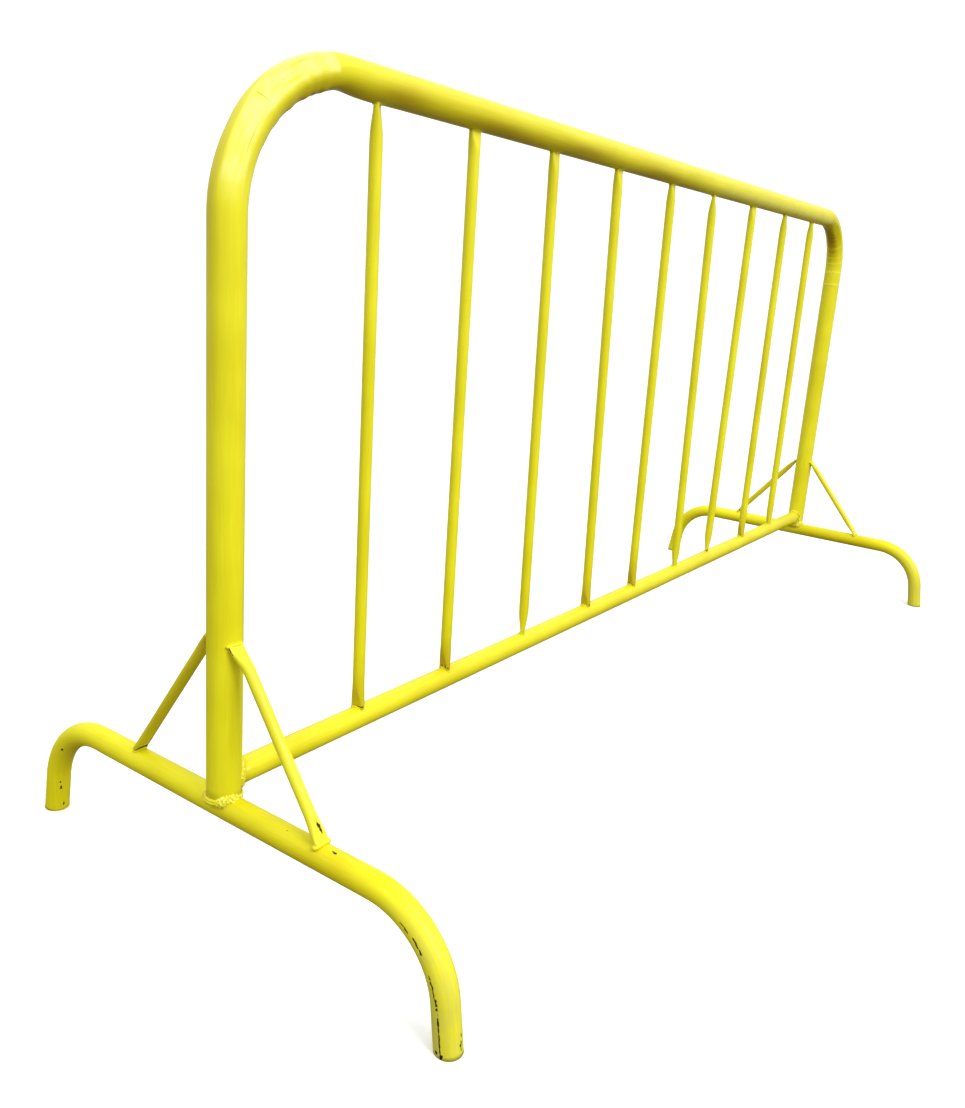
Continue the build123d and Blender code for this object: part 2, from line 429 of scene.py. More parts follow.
inside = hump(turn_between(frame_angles, 180), 0, 62)
flanks = hump(np.abs(turn_between(frame_angles, 180)), 42, 34)
frame_radius = np.full((len(frame_at), columns_round_frame), post_radius)
for turn, width, height in near_wrinkles:
    frame_radius += 0.001 * height * hump(near_turn, turn, width) * flanks
for turn, width, height in (near_kink, near_swell):
    frame_radius += 0.001 * height * hump(near_turn, turn, width) * inside
for turn, width, height in far_wrinkles:
    frame_radius += 0.001 * height * hump(far_turn, turn, width) * flanks
for turn, width, height in far_rings:
    frame_radius += 0.001 * height * hump(far_turn, turn, width)
# One fold on the near bend runs part of the way round the tube, its middle 50 degrees round it.
fold_turn = 42.3
fold_depth = 0.0006
round_fold = turn_between(frame_angles, 50)
fold = hump(near_turn, fold_turn, 0.7) * smooth_step(round_fold, -38, -22)
frame_radius -= fold_depth * fold * (1 - smooth_step(round_fold, 26, 40))
# Dents and scrapes of the bending shoe: (degrees round the bend, half-width), and the same
# round the tube, and the height in mm.
dents = 34
dent_rng = np.random.default_rng(5)
for turn, reach, facing, spread, height in zip(
    dent_rng.uniform(12, 77, dents),
    dent_rng.uniform(2.0, 6.5, dents),
    dent_rng.choice([-1, 1], dents) * dent_rng.uniform(22, 112, dents),
    dent_rng.uniform(5, 13, dents),
    dent_rng.uniform(-0.8, 0.5, dents),
):
    frame_radius += 0.001 * height * hump(near_turn, turn, reach) * hump(
        turn_between(frame_angles, facing), 0, spread
    )
frame_section = polar(frame_radius, frame_angles)


def pressed_flat(section, facing, amount):
    """Flatten the side of a section that faces that way, in degrees from outward.

    The part of a point along that direction is held below (1 - amount) of the tube's radius.
    """
    towards = np.array([cos(radians(facing)), sin(radians(facing))])
    reach = section @ towards
    limit = (1 - amount) * post_radius
    return section + (soft_lower(reach, limit, 0.0007) - reach)[..., None] * towards


# (degrees round the tube, shares of the radius pressed in at the near bend and at the far one,
# and the degrees of the near bend between which it fades out). Off the bends the planes stand
# clear of the tube.
clear = 0.06
far_flat = smooth_step(far_turn, 5, 30) * (1 - smooth_step(far_turn, 55, 85))
for facing, near_amount, far_amount, flat_ends in (
    (0, 0.05, 0.02, (60, 90)),
    (52, 0.085, 0.02, (77, 82)),
    (-52, 0.085, 0.02, (77, 82)),
    (125, 0.0, 0.07, (77, 82)),
    (-125, 0.0, 0.07, (77, 82)),
):
    near_flat = smooth_step(near_turn, 2, 20) * (1 - smooth_step(near_turn, *flat_ends))
    frame_section = pressed_flat(
        frame_section, facing, -clear + (clear + near_amount) * near_flat + (clear + far_amount) * far_flat
    )
frame_points, frame_directions = skin(frame_centres, frame_tangents, (0, -1, 0), frame_section)

# The foot of each post is a level rim that rides over the top of the cross foot.
foot_low, foot_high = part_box("near_foot")
foot_radius = (foot_high.x - foot_low.x) / 2
foot_z = foot_high.z - foot_radius
post_notch = 0.003
for row, post_x in ((0, near_x), (-1, far_x)):
    off_centre = np.minimum(np.abs(frame_points[row, :, 0] - post_x), foot_radius)
    over_foot = foot_z + np.sqrt(foot_radius**2 - off_centre**2)
    frame_points[row, :, 2] = np.maximum(over_foot, foot_z + foot_radius - post_notch)

# The coat is painted pale in one window on the near bend, which narrows downwards: a painted
# reflection of the sky in the bend's flattened face. It is painted pale on the far rings too, as
# painted highlights on their ridges.
sky_sheen_edge = 14 - 34 * smooth_step(near_turn, 30, 65)
sky_sheen_window = smooth_step(turn_between(frame_angles, 0), sky_sheen_edge, sky_sheen_edge + 12) * (
    1 - smooth_step(turn_between(frame_angles, 55), 30, 46)
)
frame_coat_and_light = 0.9 * smooth_step(near_turn, 2, 16) * (1 - smooth_step(near_turn, 79, 81)) * sky_sheen_window
for turn, width, height in far_rings:
    frame_coat_and_light = frame_coat_and_light + max(height, 0) * hump(far_turn, turn, width)
# The top rail is a shade more golden than the posts, and its far half is paler underneath.
on_rail = smooth_step(near_turn, 80, 95) * (1 - smooth_step(far_turn, -5, 10))
along_rail = frame_at[:, None] - rail_start
far_half = smooth_step(along_rail, 0.85, 1.25)
frame_coat_and_light = frame_coat_and_light - 0.14 * on_rail
frame_coat_and_light = frame_coat_and_light + 0.8 * on_rail * far_half * hump(turn_between(frame_angles, 125), 0, 34)
# A darker golden coat on the outer face of the near bend, painted shade inside both bends,
# where their undersides fall in shade, and darker golden runs along the lower side of the top
# rail: (places, middle and reach in them, degrees round the tube and reach, amount). Places are
# degrees round a bend, or metres along the rail.
for places, middle, reach, facing, spread, amount in (
    (near_turn, 12, 40, -10, 30, 0.3),
    (far_turn, 42, 28, 190, 55, 0.9),
    (near_turn, 62, 24, 150, 36, 0.6),
    (along_rail, 0.08, 0.05, 120, 32, 0.55),
    (along_rail, 0.30, 0.09, 135, 32, 0.55),
    (along_rail, 0.52, 0.07, 125, 32, 0.55),
    (along_rail, 0.80, 0.08, 140, 32, 0.55),
):
    round_tube = turn_between(frame_angles, facing)
    frame_coat_and_light = frame_coat_and_light - amount * hump(places, middle, reach) * hump(round_tube, 0, spread)
# Painted shade in the fold, and faint darker brown lines on the flank of the near bend:
# (degrees round the bend, degrees round the tube, half-length, half-width).
near_fold_shade_and_lines = [
    (fold_turn, 48, 0.8, 10),
    (27, 76, 24, 0.9),
    (20, 66, 14, 0.7),
    (56, 74, 14, 1.0),
    (64, 36, 10, 0.7),
]
fold_shade_and_lines = chips_and_shadows_on(
    frame_at,
    frame_angles,
    post_radius,
    [
        (1000 * (near_bend_start + near_bend * radians(turn)), facing, half_length, half_width)
        for turn, facing, half_length, half_width in near_fold_shade_and_lines
    ],
)
frame_coat_and_light = frame_coat_and_light - 1.7 * (1 - smooth_step(fold_shade_and_lines, -0.9, 0.9))
shell_piece(
    "frame_tube_shell",
    [
        walled(
            frame_points,
            frame_directions,
            tube_wall,
            frame_at,
            polar(post_radius, frame_angles),
            bare_and_shadow=np.full((1, 1), unchipped),
            coat_and_light=frame_coat_and_light,
        )
    ],
    brushed_enamel,
    "yellow_enamel",
    "frame_tube",
)


# ---------------------------------------------------------------------------------------------
# Bottom rail. A straight 32 mm steel tube between the posts, its ends cut to their round and
# welded, just clear of the feet.
# ---------------------------------------------------------------------------------------------
rail_low, rail_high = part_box("bottom_rail")
rail_radius = (rail_high.z - rail_low.z) / 2
rail_z = (rail_high.z + rail_low.z) / 2
columns_round_rail = 64
rows_along_rail = 180
# a shade more golden than the posts
rail_coat = -0.12

rail_at = np.linspace(0, far_x - near_x - 2 * post_radius, rows_along_rail)
rail_angles = np.linspace(0, 2 * pi, columns_round_rail, endpoint=False)[None]
rail_centres = np.array([near_x + post_radius, frame_y, rail_z]) + rail_at[:, None] * np.array([1, 0, 0])
rail_tangents = np.broadcast_to([1.0, 0.0, 0.0], rail_centres.shape)
rail_section = np.broadcast_to(
    polar(rail_radius, rail_angles), (len(rail_at), columns_round_rail, 2)
)
rail_points, rail_directions = skin(rail_centres, rail_tangents, (0, -1, 0), rail_section)
for row, post_x, inward in ((0, near_x, 1), (-1, far_x, -1)):
    reach = np.sqrt(post_radius**2 - (rail_points[row, :, 1] - frame_y) ** 2)
    rail_points[row, :, 0] = post_x + inward * reach
shell_piece(
    "bottom_rail_shell",
    [
        walled(
            rail_points,
            rail_directions,
            tube_wall,
            rail_at,
            rail_section,
            bare_and_shadow=np.full((1, 1), unchipped),
            coat_and_light=np.full((1, 1), rail_coat),
        )
    ],
    brushed_enamel,
    "yellow_enamel",
    "bottom_rail",
)


# ---------------------------------------------------------------------------------------------
# Pickets. Nine 16.6 mm steel tubes between the rails. Each end was crushed nearly flat in a
# press, leaving two slanting facets with creased edges, and stands turned as it happened to.
# ---------------------------------------------------------------------------------------------
picket_radius = 0.0083
picket_wall = 0.0015
picket_flat = (0.0205, 0.007)
picket_flat_length = 0.004
picket_head_turns = (35, -2, 0, 3, 7, 23, -7, 11, 7)
picket_foot_turns = (91, 76, 32, 78, 66, 33, 22, 52, 35)
# how far each head and foot was crushed back from its end, in mm, as the press happened to bite
picket_head_crush = (44, 30, 40, 38, 40, 42, 36, 40, 38)
picket_foot_crush = (40, 36, 44, 36, 38, 40, 46, 38, 42)
columns_round_picket = 48
# how thin and golden the coat is at each foot
golden_feet = (0.45, 0.6, 0.2, 0.5, 0.6, 0.2, 0.2, 0.5, 0.2)
# painted shadows, dark lines and specks in the gaps over some foot welds: (mm up the picket, degrees round
# it, half-height, half-width)
foot_gap_shadows = {
    1: [(2.2, 20, 0.7, 8.0), (2.4, 76, 1.0, 2.0)],
    2: [(4.2, 22, 2.6, 0.7), (3.0, 66, 0.7, 2.0), (4.0, -30, 1.2, 0.8)],
    3: [(5.0, 60, 0.9, 1.0), (10.0, 80, 0.8, 0.8)],
    4: [(3.0, 76, 0.9, 2.4)],
    5: [(2.6, 20, 0.6, 5.0), (3.0, -40, 1.0, 1.2)],
    6: [(8.5, 90, 1.3, 1.3)],
    7: [(3.5, 30, 2.6, 1.3)],
    8: [(3.0, -10, 0.8, 3.0)],
}


crush_power = 1.25
just_clear = 1.04
crease_ease = 0.00035
crushed_end_rows = 0.0012


def crushed(distance, angles, radius, flat, crush, flat_length, turn):
    """Section of a crushed tube end, at distances from the end.

    Two planes press on the round tube: flat[1] apart at the end, and spreading on a quarter sine,
    to the power crush_power, until they are just_clear radii off the axis, crush further on. What
    they press down goes out sideways, towards flat[0] wide. turn is the direction of that width.
    """
    opened = np.sin(np.clip((distance - flat_length) / crush, 0, 1) * pi / 2) ** crush_power
    half_gap = flat[1] / 2 + (radius * just_clear - flat[1] / 2) * opened
    half_width = flat[0] / 2 + (radius - flat[0] / 2) * opened
    local = angles - radians(turn)
    rise = radius * np.sin(local)
    pressed = np.sign(rise) * soft_lower(np.abs(rise), half_gap, crease_ease)
    thick = np.where(opened < 1, pressed, rise)
    wide = half_width * np.cos(local)
    c, s = cos(radians(turn)), sin(radians(turn))
    return np.stack([wide * c - thick * s, wide * s + thick * c], axis=-1)


def end_middle(node, top):
    """Middle, along X, of the highest or lowest 6 mm of a CAD node."""
    points = np.array([vertex.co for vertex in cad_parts[node].data.vertices])
    height = points[:, 2]
    end = height > height.max() - 0.006 if top else height < height.min() + 0.006
    return (points[end, 0].min() + points[end, 0].max()) / 2


def rod_rows(length, end_zone, fine, coarse):
    """Distances of the rows of a rod: fine in both end zones, coarse between."""
    zone = np.arange(fine, end_zone, fine)
    middle = np.arange(end_zone, length - end_zone, coarse)
    return np.concatenate([[0], zone, middle, (length - zone)[::-1], [length]])


picket_ends = []
for number in range(1, 10):
    node = f"picket_{number}"
    low = np.array([end_middle(node, False), frame_y, rail_z + rail_radius])
    high = np.array([end_middle(node, True), frame_y, top_z - post_radius])
    picket_ends.append((low, high))
    length = np.linalg.norm(high - low)
    at = rod_rows(length, 0.056, crushed_end_rows, 0.03)
    angles = np.linspace(0, 2 * pi, columns_round_picket, endpoint=False)[None]
    centres = low + at[:, None] * (high - low) / length
    tangents = np.broadcast_to((high - low) / length, centres.shape)
    foot_section, head_section = (
        crushed(distance[:, None], angles, picket_radius, picket_flat, crush / 1000, picket_flat_length, turn)
        for distance, crush, turn in (
            (at, picket_foot_crush[number - 1], picket_foot_turns[number - 1]),
            (length - at, picket_head_crush[number - 1], picket_head_turns[number - 1]),
        )
    )
    section = np.where((at < length / 2)[:, None, None], foot_section, head_section)
    points, directions = skin(centres, tangents, (0, -1, 0), section)
    points[0, :, 2] = rail_z + np.sqrt(rail_radius**2 - (points[0, :, 1] - frame_y) ** 2)
    points[-1, :, 2] = top_z - np.sqrt(post_radius**2 - (points[-1, :, 1] - frame_y) ** 2)
    round_section = np.broadcast_to(polar(picket_radius, angles), section.shape)
    shell_piece(
        f"picket_{number}_shell",
        [
            walled(
                points,
                directions,
                picket_wall,
                at,
                round_section,
                bare_and_shadow=chips_and_shadows_on(at, angles, picket_radius, foot_gap_shadows.get(number, [])),
                coat_and_light=-golden_feet[number - 1] * (1 - smooth_step(at, 0.012, 0.075))[:, None],
            )
        ],
        brushed_enamel,
        "yellow_enamel",
        node,
    )


# ---------------------------------------------------------------------------------------------
# Feet. A 32.6 mm steel tube lies across under each post and is bent down to a leg at each end,
# open at the floor. Their paint is duller than the frame's, and chipped where the legs drag.
# ---------------------------------------------------------------------------------------------
foot_bend = 0.1075
foot_bend_angle = radians(81.7)
columns_round_foot = 120
# How far the tube's axis is run on below the floor, before its end is cut level. Rows round it
# start first_row up the leg, and are level_row apart beyond past_bend from each bend.
floor_trim = 0.02
first_row = 0.004
level_row = 0.006
past_bend = 0.02
road_dulled_enamel = enamel(
    "road_dulled_yellow_enamel", ("#F0E81A", "#E2D60A", "#D0CC5A"), 0.42, 0.22, 0.03, 0.03, orange_peel
)

# Chips: (mm along the foot from its -Y leg's end, degrees round it, half-length, half-width)
foot_chips = {
    "near": [
        (153, 273, 1.2, 0.5),
        (147, 274, 2.0, 0.6),
        (144, 271, 1.8, 0.5),
        (131, 279, 2.6, 0.5),
        (126, 276, 2.6, 0.6),
        (120, 277, 2.4, 0.5),
        (117, 273, 1.4, 0.4),
        (91, 270, 2.0, 0.5),
        (86, 268, 2.2, 0.7),
        (80, 270, 3.0, 0.5),
        (72, 267.5, 3.2, 0.45),
        (65, 271, 3.0, 0.4),
        (57, 272, 1.2, 0.6),
        (41, 276, 5.0, 0.75),
        (22, 276.5, 24.0, 0.5),
        (6, 258, 1.8, 1.6),
        (2.5, 268, 1.4, 2.4),
        (4, 281, 1.6, 1.8),
        (14, 8, 1.6, 0.8),
        (12, 0, 0.9, 1.0),
        (9, 5, 2.0, 0.5),
        (22, 12, 1.6, 0.4),
        (793, 244, 2.2, 1.1),
        (865, 205, 1.4, 0.7),
        (874, 200, 2.2, 1.0),
        (903, 182, 2.2, 1.0),
        (338, 338, 1.2, 0.3),
        (266, 351, 2.2, 0.7),
        (264, 347, 1.2, 0.6),
    ],
    "far": [(20, 100, 4, 1.5), (2, 250, 1.4, 1.6), (860, 230, 6, 1.2)],
}


for end_name, post_x in (("near", near_x), ("far", far_x)):
    low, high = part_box(f"{end_name}_foot")
    leg_y = high.y - foot_radius / sin(foot_bend_angle)
    corner_y = leg_y - foot_z / tan(foot_bend_angle)
    trim_y = leg_y + floor_trim / tan(foot_bend_angle)
    corners = [
        (post_x, -trim_y, -floor_trim),
        (post_x, -corner_y, foot_z),
        (post_x, corner_y, foot_z),
        (post_x, trim_y, -floor_trim),
    ]
    leg_run = (foot_z + floor_trim) / sin(foot_bend_angle) - foot_bend * tan(foot_bend_angle / 2)
    level_run = 2 * (corner_y - foot_bend * tan(foot_bend_angle / 2))
    total = 2 * leg_run + 2 * foot_bend * foot_bend_angle + level_run
    end_at = floor_trim / sin(foot_bend_angle)
    level_start = leg_run + foot_bend * foot_bend_angle
    at = np.unique(
        np.concatenate(
            [
                [end_at],
                np.arange(end_at + first_row, level_start + past_bend, fine_row),
                np.arange(level_start + past_bend, total - level_start - past_bend, level_row),
                np.arange(total - level_start - past_bend, total - end_at - first_row, fine_row),
                [total - end_at],
            ]
        )
    )
    angles = np.linspace(0, 2 * pi, columns_round_foot, endpoint=False)[None]
    centres, tangents = bent_line(corners, [foot_bend, foot_bend], (1, 0, 0), at)
    section = np.broadcast_to(polar(foot_radius, angles), (len(at), columns_round_foot, 2))
    points, directions = skin(centres, tangents, (1, 0, 0), section)
    # paler towards the floor on the -Y leg, more so behind the split in its paint, and a shade
    # more golden along the -Y half
    up_leg = (at - end_at)[:, None]
    behind_split = np.where(turn_between(angles, 276) < 0, 1 - smooth_step(up_leg, 0.043, 0.048), 0)
    front_half = 1 - smooth_step(up_leg, total / 2 - 0.12, total / 2 + 0.06)
    foot_coat = 0.75 * (1 - smooth_step(up_leg, 0.08, 0.26)) + 0.4 * behind_split - 0.2 * front_half
    for row in (0, -1):
        points[row] -= tangents[row] * (points[row][:, 2:] / tangents[row][2])
        directions[row][:, 2] = 0
    shell_piece(
        f"{end_name}_foot_shell",
        [
            walled(
                points,
                directions,
                tube_wall,
                at,
                section,
                bare_and_shadow=chips_and_shadows_on(at - end_at, angles, foot_radius, foot_chips[end_name]),
                coat_and_light=foot_coat,
            )
        ],
        road_dulled_enamel,
        "yellow_enamel",
        f"{end_name}_foot",
    )


# ---------------------------------------------------------------------------------------------
# Braces. A 14.4 mm steel tube runs from each side of each post down to the foot, its ends
# crushed into flat tabs across the barrier's length and welded on.
# ---------------------------------------------------------------------------------------------
brace_radius = 0.0072
brace_wall = 0.0015
brace_flat = (0.0205, 0.005)
brace_flat_length = 0.005
brace_crush = 0.034
# The tabs are cut square, a little short of the foot and the post, and the weld fills the gap.
# The near front brace's upper tab is shorter, and knocked aside (X) and in to the post (Y).
foot_end_short = 0.0022
post_end_short = 0.0015
knocked_end_short = 0.006
tab_knock = np.array([-0.002, 0.004, 0.0])
# painted shade: a little golden on the back braces, which stand in shade, and a shade paler on the front
# ones, which face the light
brace_painted_light = {"front": 0.1, "back": -0.25}
# one deep chip low on a brace, and painted shadows in the gaps at a few tabs: (mm from the foot,
# degrees round the brace, half-length, half-width)
brace_chips_and_gap_shadows = {
    ("near", "front"): [
        (20.5, 3, 2.0, 0.4),
        (15.5, 15, 3.8, 0.9),
        (11, 21, 1.8, 0.6),
        (236.5, 274, 3.4, 0.45),
    ],
    ("near", "back"): [(0.6, 8, 4.8, 9.5)],
    ("far", "front"): [(7.0, 330, 0.9, 3.0)],
    ("far", "back"): [(7.5, 300, 1.2, 6.0)],
}
# (rise on the post above the foot's top, reach along the foot from the post's middle)
brace_places = {"near": (0.202, 0.167), "far": (0.183, 0.174)}
foot_top = foot_z + foot_radius

brace_ends = []
for end_name, post_x in (("near", near_x), ("far", far_x)):
    rise, reach = brace_places[end_name]
    for side_name, side in (("front", -1), ("back", 1)):
        low = np.array([post_x, frame_y + side * reach, foot_top])
        high = np.array([post_x, frame_y + side * post_radius, foot_top + rise])
        heading = (high - low) / np.linalg.norm(high - low)
        knocked = (end_name, side_name) == ("near", "front")
        low = low + foot_end_short * heading
        high = high - (knocked_end_short if knocked else post_end_short) * heading
        brace_ends.append((low, high + knocked * tab_knock, post_x, side))
        length = np.linalg.norm(high - low)
        at = rod_rows(length, 0.05, crushed_end_rows, 0.02)
        angles = np.linspace(0, 2 * pi, columns_round_picket, endpoint=False)[None]
        centres = low + at[:, None] * heading
        centres += smooth_step(at, length - 0.034, length - 0.002)[:, None] * knocked * tab_knock
        tangents = np.broadcast_to(heading, centres.shape)
        from_end = np.minimum(at, length - at)[:, None]
        section = crushed(from_end, angles, brace_radius, brace_flat, brace_crush, brace_flat_length, 90)
        points, directions = skin(centres, tangents, (1, 0, 0), section)
        shell_piece(
            f"{end_name}_{side_name}_brace_shell",
            [
                walled(
                    points,
                    directions,
                    brace_wall,
                    at,
                    polar(brace_radius, np.broadcast_to(angles, section.shape[:2])),
                    bare_and_shadow=chips_and_shadows_on(at, angles, brace_radius, brace_chips_and_gap_shadows[end_name, side_name]),
                    coat_and_light=np.full((1, 1), brace_painted_light[side_name]),
                )
            ],
            brushed_enamel,
            "yellow_enamel",
            f"{end_name}_{side_name}_brace",
        )


# ---------------------------------------------------------------------------------------------
# Weld beads. Stick weld laid by hand and painted over, never ground: crusty rings of overlapping
# drops, heaviest where the posts stand on the feet, and small at the pickets and braces.
# ---------------------------------------------------------------------------------------------
weld_enamel = enamel("yellow_enamel_over_weld", ("#EAE222", "#D8CC0E", "#F6F270"), 0.3, 0.36, 0.0, 0.2, 1.6)
rng = np.random.default_rng(7)
# Drops stand out by this share of their height. Furrows are this deep where nearly all spatter
# is gone, and lie at these degrees round the bead's section, with this reach in radians.
sunk_share = 0.9
smoothing_groove = 0.0006
furrow_turns = (160, 212)
furrow_spread = 0.16


def bead(line, outs, ups, half_width, half_height, drops, drop_radius, grooves=0.0, columns=24):
    """A closed ring of weld along a closed line.

    At each point of the line stands an ellipse, half_width along outs and half_height along ups.
    Drops sit on it at random places: each is a ball with its centre a little under the skin, and
    the skin is pushed out to the highest ball over it. grooves is the depth, along the line, of
    two furrows on the ellipse's outer face, where the rod was dragged without spattering.
    """
    count = len(line)
    run = np.linalg.norm(np.roll(line, -1, axis=0) - line, axis=1)
    along = (np.cumsum(run) - run)[:, None]
    total = run.sum()
    across = np.linspace(0, 2 * pi, columns, endpoint=False)[None]
    half_width = np.broadcast_to(half_width, count)[:, None]
    half_height = np.broadcast_to(half_height, count)[:, None]
    rise = np.zeros((count, columns))
    mean_radius = (half_width + half_height) / 2
    for drop_at, drop_turn, ball in zip(
        rng.uniform(0, total, drops),
        rng.uniform(0, 2 * pi, drops),
        drop_radius * rng.uniform(0.6, 1.2, drops),
    ):
        gap = (along - drop_at + total / 2) % total - total / 2
        turn = (across - drop_turn + pi) % (2 * pi) - pi
        rise = np.maximum(rise, np.sqrt(np.maximum(ball**2 - gap**2 - (mean_radius * turn) ** 2, 0)))
    grooves = np.broadcast_to(grooves, count)[:, None]
    calm = 1 - 0.85 * np.clip(grooves / smoothing_groove, 0, 1)
    furrow = sum(hump(across, radians(turn), furrow_spread) for turn in furrow_turns)
    push = sunk_share * rise * calm - grooves * furrow
    points = (
        line[:, None]
        + ((half_width + push) * np.cos(across))[..., None] * outs[:, None]
        + ((half_height + push) * np.sin(across))[..., None] * ups[:, None]
    )
    # the coat is paler on the tops of the drops, a painted highlight on the grains, and thin and golden where
    # the rod was dragged smooth
    return {
        "points": points,
        "straight": points,
        "bare_and_shadow": np.full(rise.shape, unchipped),
        "coat_and_light": smooth_step(rise, 0.3 * drop_radius, drop_radius) * calm - 0.35 * (1 - calm),
    }


def ring_angles(count):
    """Angles of points on a ring, once round."""
    return np.linspace(0, 2 * pi, count, endpoint=False)


round_post = ring_angles(520)
outward = np.stack([np.cos(round_post), np.sin(round_post), 0 * round_post], axis=1)
upward = np.broadcast_to([0.0, 0.0, 1.0], outward.shape)
# heaped up on the side towards the rail, and dragged smooth on the outside
heap = hump(turn_between(round_post, 246), 0, 34)
dragged = smooth_step(turn_between(round_post, 172), -52, -38) * (
    1 - smooth_step(turn_between(round_post, 172), 22, 44)
)
lump = hump(turn_between(round_post, 130), 0, 8)
post_bead_width = 0.0042 + 0.0006 * heap + 0.0016 * lump - 0.003 * hump(turn_between(round_post, 312), 0, 36)
post_bead_height = 0.0043 + 0.0036 * heap + 0.002 * lump
for end_name, post_x in (("near", near_x), ("far", far_x)):
    line = np.array([post_x, frame_y, foot_top - 0.004]) + (post_radius - 0.001) * outward
    line[:, 2] += 0.0032 * heap
    shell_piece(
        f"{end_name}_post_bead",
        [bead(line, -outward, upward, post_bead_width, post_bead_height, 900, 0.0014, 0.0011 * dragged, 64)],
        weld_enamel,
        "yellow_enamel_welds",
        f"{end_name}_post_weld",
    )

round_rail = ring_angles(240)
rail_outward = np.stack([0 * round_rail, np.cos(round_rail), np.sin(round_rail)], axis=1)
rail_bead = 0.0031
for end_name, post_x, inward in (("near", near_x, 1), ("far", far_x, -1)):
    across = rail_radius * np.cos(round_rail)
    up = rail_radius * np.sin(round_rail)
    line = np.stack(
        [post_x + inward * np.sqrt(post_radius**2 - across**2), frame_y + across, rail_z + up], axis=1
    )
    away = np.broadcast_to([float(inward), 0.0, 0.0], line.shape)
    shell_piece(
        f"{end_name}_rail_bead",
        [bead(line, -inward * rail_outward, away, rail_bead, rail_bead, 300, 0.0012, columns=40)],
        weld_enamel,
        "yellow_enamel_welds",
        f"{end_name}_rail_weld",
    )


def flat_ring(turn, flat, count):
    """Points and outward directions of the ellipse round a crushed end, turned about Z."""
    round_flat = ring_angles(count)
    wide, thick = flat[0] / 2 * np.cos(round_flat), flat[1] / 2 * np.sin(round_flat)
    out_wide, out_thick = np.cos(round_flat) / flat[0], np.sin(round_flat) / flat[1]
    size = np.hypot(out_wide, out_thick)
    c, s = cos(radians(turn)), sin(radians(turn))
    spots = np.stack([wide * c - thick * s, wide * s + thick * c], axis=1)
    outs = np.stack([out_wide * c - out_thick * s, out_wide * s + out_thick * c], axis=1) / size[:, None]
    return spots, outs


picket_bead = 0.0018
foot_beads, head_beads = [], []
for (low, high), foot_turn, head_turn in zip(picket_ends, picket_foot_turns, picket_head_turns):
    for end, turn, host_z, host_radius, up, beads in (
        (low, foot_turn, rail_z, rail_radius, 1.0, foot_beads),
        (high, head_turn, top_z, post_radius, -1.0, head_beads),
    ):
        spots, outs = flat_ring(turn, picket_flat, 90)
        surface_z = host_z + up * np.sqrt(host_radius**2 - spots[:, 1] ** 2)
        line = np.stack([end[0] + spots[:, 0], end[1] + spots[:, 1], surface_z], axis=1)
        outs = np.concatenate([outs, np.zeros((len(outs), 1))], axis=1)
        ups = np.broadcast_to([0.0, 0.0, up], outs.shape)
        # the bead runs thin at the end turned to -Y, where it was started, and fat where it ended
        size = picket_bead * (1 + 0.45 * spots[:, 1] / picket_flat[0])
        beads.append(bead(line, -up * outs, ups, size, size, 26, 0.0009))
shell_piece("picket_foot_beads", foot_beads, weld_enamel, "yellow_enamel_welds", "picket_foot_welds")
shell_piece("picket_head_beads", head_beads, weld_enamel, "yellow_enamel_welds", "picket_head_welds")

# (half-width, half-height): a wide lip on the foot in front, starved behind, thin on the post
brace_foot_bead = (0.0036, 0.0030)
starved_bead = (0.0011, 0.0011)
brace_top_bead = (0.0018, 0.0022)
top_beads, low_beads = [], []
for low, high, post_x, side in brace_ends:
    heading = (high - low) / np.linalg.norm(high - low)
    spots, outs = flat_ring(0, brace_flat, 72)
    across = np.array([1.0, 0.0, 0.0])
    through = np.cross(heading, across)
    for end, normal_axis, size, beads in (
        (low, 2, starved_bead if side > 0 else brace_foot_bead, low_beads),
        (high, 1, brace_top_bead, top_beads),
    ):
        line = end + spots[:, :1] * across + spots[:, 1:] * through
        if normal_axis == 2:
            target = foot_z + np.sqrt(foot_radius**2 - (line[:, 0] - post_x) ** 2)
            normal = np.array([0.0, 0.0, 1.0])
        else:
            target = frame_y + side * np.sqrt(post_radius**2 - (line[:, 0] - post_x) ** 2)
            normal = np.array([0.0, float(side), 0.0])
        line[:, normal_axis] = (line[:, normal_axis] + target) / 2
        ring_outs = outs[:, :1] * across + outs[:, 1:] * through
        ring_outs = ring_outs - (ring_outs @ normal)[:, None] * normal
        ring_outs /= np.linalg.norm(ring_outs, axis=1)[:, None]
        handed = np.sign((np.cross(np.roll(line, -1, axis=0) - line, ring_outs) @ normal).sum())
        ups = np.broadcast_to(normal, line.shape)
        beads.append(bead(line, handed * ring_outs, ups, size[0], size[1], 26, 0.0009))
shell_piece("brace_top_beads", top_beads, weld_enamel, "yellow_enamel_welds", "brace_top_welds")
shell_piece("brace_foot_beads", low_beads, weld_enamel, "yellow_enamel_welds", "brace_foot_welds")


# ---------------------------------------------------------------------------------------------
# Stage. A plain pale floor, a soft white sky over dim ground, one large soft light high on the
# right, and the camera at eye height close to the near post.
# ---------------------------------------------------------------------------------------------
floor_half = 500
floor_corners = np.array([(-1, -1, 0), (1, -1, 0), (1, 1, 0), (-1, 1, 0)]) * floor_half
floor_mesh = bpy.data.meshes.new("floor")
floor_mesh.from_pydata(floor_corners.tolist(), [], [(0, 1, 2, 3)])
floor_paint = bpy.data.materials.new("pale_floor")
floor_paint.use_nodes = True
floor_shader = floor_paint.node_tree.nodes["Principled BSDF"]
floor_shader.inputs["Base Color"].default_value = hex_linear("#FFFFFF")
floor_shader.inputs["Roughness"].default_value = 1.0
floor_shader.inputs["Specular IOR Level"].default_value = 0.0
floor_mesh.materials.append(floor_paint)
floor = bpy.data.objects.new("floor", floor_mesh)
bpy.context.scene.collection.objects.link(floor)
